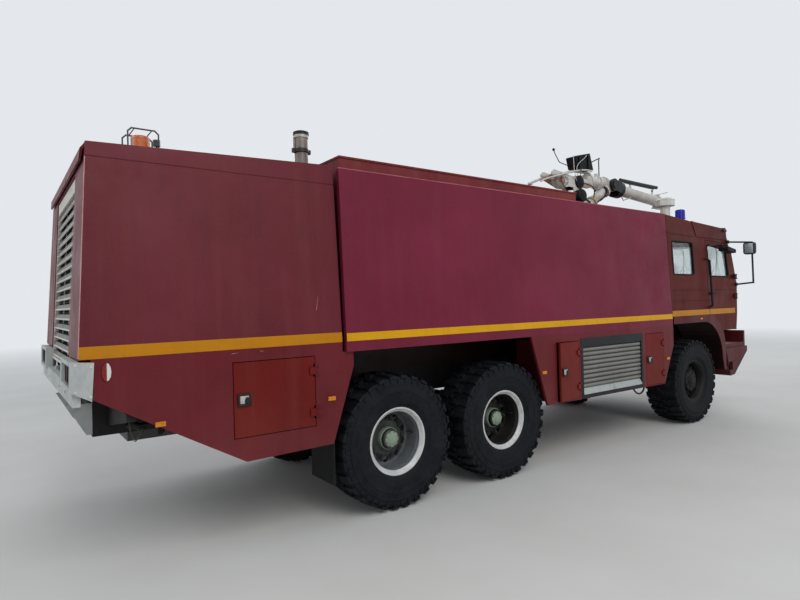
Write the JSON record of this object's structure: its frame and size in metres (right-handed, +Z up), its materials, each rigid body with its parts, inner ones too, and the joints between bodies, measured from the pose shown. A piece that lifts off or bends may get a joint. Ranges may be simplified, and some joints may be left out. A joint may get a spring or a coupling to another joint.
{
  "type": "airport fire truck",
  "caption": "Six-wheeled airport crash tender with a forward cab, a slab-sided tank body, a rear engine housing with a slatted grille and a roof water cannon.",
  "frame": {"origin": "on the ground under the middle of the vehicle's overall length and width", "axes": "+X forward, +Y to the vehicle's left, +Z up"},
  "size_m": [9.232, 2.976, 3.95],
  "materials": {
    "chassis_black": "satin",
    "engine_grey": "matte",
    "maroon": "satin",
    "crimson": "gloss",
    "plum": "satin",
    "skirt_maroon": "satin",
    "brick": "satin",
    "brown_red": "satin",
    "slat_grey": "matte",
    "shutter_grey": "matte",
    "bumper_white": "satin",
    "lamp_red": "gloss",
    "rubber_black": "matte",
    "glass": "gloss",
    "trim_black": "matte",
    "seat_cloth": "matte",
    "stack_steel": "matte",
    "amber": "gloss",
    "blue": "gloss",
    "white_paint": "satin",
    "rim_grey": "satin",
    "rim_dark": "satin",
    "tyre": "matte"
  },
  "bodies": {
    "chassis": {"frame_rails": "chassis_black", "cross_members": "chassis_black", "engine_block": "engine_grey", "transfer_case": "engine_grey", "prop_shafts": "chassis_black", "air_tanks": "chassis_black", "front_axle": "chassis_black", "rear_axles": "chassis_black", "springs": "chassis_black", "tank_body": "maroon", "side_panels": "crimson", "engine_housing": "plum", "rear_grille": "slat_grey", "rear_skirts": "skirt_maroon", "mid_skirts": "skirt_maroon", "shutters": "shutter_grey", "rear_bumper": "bumper_white", "lamps": "lamp_red", "mudflaps": "rubber_black", "cab_shell": "brown_red", "cab_floor": "trim_black", "cab_glass": "glass", "dashboard": "trim_black", "seats": "seat_cloth", "mudguards": "brown_red", "front_bumper": "brown_red", "mirrors": "trim_black", "exhaust_stack": "stack_steel", "amber_beacon": "amber", "blue_beacons": "blue", "roof_vent": "white_paint", "monitor_base": "white_paint"},
    "monitor_turret": {"monitor_head": "white_paint", "monitor_drives": "trim_black"},
    "monitor_gun": {"monitor_barrel": "white_paint"},
    "cab_door_left": {"cab_door_left": "brown_red", "door_glass_left": "glass"},
    "cab_door_right": {"cab_door_right": "brown_red", "door_glass_right": "glass"},
    "rear_hatch_left": {"rear_hatch_left": "brick"},
    "locker_a_left": {"locker_a_left": "brick"},
    "locker_b_left": {"locker_b_left": "brick"},
    "rear_hatch_right": {"rear_hatch_right": "brick"},
    "locker_a_right": {"locker_a_right": "brick"},
    "locker_b_right": {"locker_b_right": "brick"},
    "knuckle_left": {"knuckle_left": "chassis_black"},
    "wheel_front_left": {"rim_front_left": "rim_dark", "tyre_front_left": "tyre"},
    "knuckle_right": {"knuckle_right": "chassis_black"},
    "wheel_front_right": {"rim_front_right": "rim_dark", "tyre_front_right": "tyre"},
    "wheel_mid_left": {"rim_mid_left": "rim_grey", "tyre_mid_left": "tyre"},
    "wheel_mid_right": {"rim_mid_right": "rim_grey", "tyre_mid_right": "tyre"},
    "wheel_rear_left": {"rim_rear_left": "rim_grey", "tyre_rear_left": "tyre"},
    "wheel_rear_right": {"rim_rear_right": "rim_grey", "tyre_rear_right": "tyre"}
  },
  "joints": [
    {"name": "monitor_pan", "type": "hinge", "parent": "chassis", "child": "monitor_turret", "pos_m": [2.1, 0, 3.05], "axis": [0, 0, 1], "range_deg": [-150, 150]},
    {"name": "monitor_tilt", "type": "hinge", "parent": "monitor_turret", "child": "monitor_gun", "pos_m": [2.784, 0, 3.53], "axis": [0, -1, 0], "range_deg": [-1, 70]},
    {"name": "cab_door_left_hinge", "type": "hinge", "parent": "chassis", "child": "cab_door_left", "pos_m": [4.303, 1.206, 1.9], "axis": [0, 0, -1], "range_deg": [0, 62]},
    {"name": "cab_door_right_hinge", "type": "hinge", "parent": "chassis", "child": "cab_door_right", "pos_m": [4.303, -1.206, 1.9], "axis": [0, 0, 1], "range_deg": [0, 62]},
    {"name": "rear_hatch_left_hinge", "type": "hinge", "parent": "chassis", "child": "rear_hatch_left", "pos_m": [-2.967, 1.209, 1], "axis": [0, 0, -1], "range_deg": [0, 100]},
    {"name": "locker_a_left_hinge", "type": "hinge", "parent": "chassis", "child": "locker_a_left", "pos_m": [0.303, 1.237, 1], "axis": [0, 0, -1], "range_deg": [0, 100]},
    {"name": "locker_b_left_hinge", "type": "hinge", "parent": "chassis", "child": "locker_b_left", "pos_m": [2.078, 1.237, 1], "axis": [0, 0, -1], "range_deg": [0, 100]},
    {"name": "rear_hatch_right_hinge", "type": "hinge", "parent": "chassis", "child": "rear_hatch_right", "pos_m": [-2.967, -1.209, 1], "axis": [0, 0, 1], "range_deg": [0, 100]},
    {"name": "locker_a_right_hinge", "type": "hinge", "parent": "chassis", "child": "locker_a_right", "pos_m": [0.303, -1.237, 1], "axis": [0, 0, 1], "range_deg": [-7, 93]},
    {"name": "locker_b_right_hinge", "type": "hinge", "parent": "chassis", "child": "locker_b_right", "pos_m": [2.078, -1.237, 1], "axis": [0, 0, 1], "range_deg": [0, 100]},
    {"name": "steer_left", "type": "hinge", "parent": "chassis", "child": "knuckle_left", "pos_m": [3.014, 0.8, 0.585], "axis": [0, 0, 1], "range_deg": [-28, 28]},
    {"name": "spin_front_left", "type": "hinge", "parent": "knuckle_left", "child": "wheel_front_left", "pos_m": [3.014, 0.9675, 0.585], "axis": [0, 1, 0], "continuous": true},
    {"name": "steer_right", "type": "hinge", "parent": "chassis", "child": "knuckle_right", "pos_m": [3.014, -0.8, 0.585], "axis": [0, 0, 1], "range_deg": [-28, 28]},
    {"name": "spin_front_right", "type": "hinge", "parent": "knuckle_right", "child": "wheel_front_right", "pos_m": [3.014, -0.9675, 0.585], "axis": [0, 1, 0], "continuous": true},
    {"name": "spin_mid_left", "type": "hinge", "parent": "chassis", "child": "wheel_mid_left", "pos_m": [-0.843, 0.9675, 0.585], "axis": [0, 1, 0], "continuous": true},
    {"name": "spin_mid_right", "type": "hinge", "parent": "chassis", "child": "wheel_mid_right", "pos_m": [-0.843, -0.9675, 0.585], "axis": [0, 1, 0], "continuous": true},
    {"name": "spin_rear_left", "type": "hinge", "parent": "chassis", "child": "wheel_rear_left", "pos_m": [-2.155, 0.9675, 0.585], "axis": [0, 1, 0], "continuous": true},
    {"name": "spin_rear_right", "type": "hinge", "parent": "chassis", "child": "wheel_rear_right", "pos_m": [-2.155, -0.9675, 0.585], "axis": [0, 1, 0], "continuous": true}
  ],
  "couplings": [
    {"joint": "steer_right", "follows": "steer_left", "ratio": 1}
  ]
}
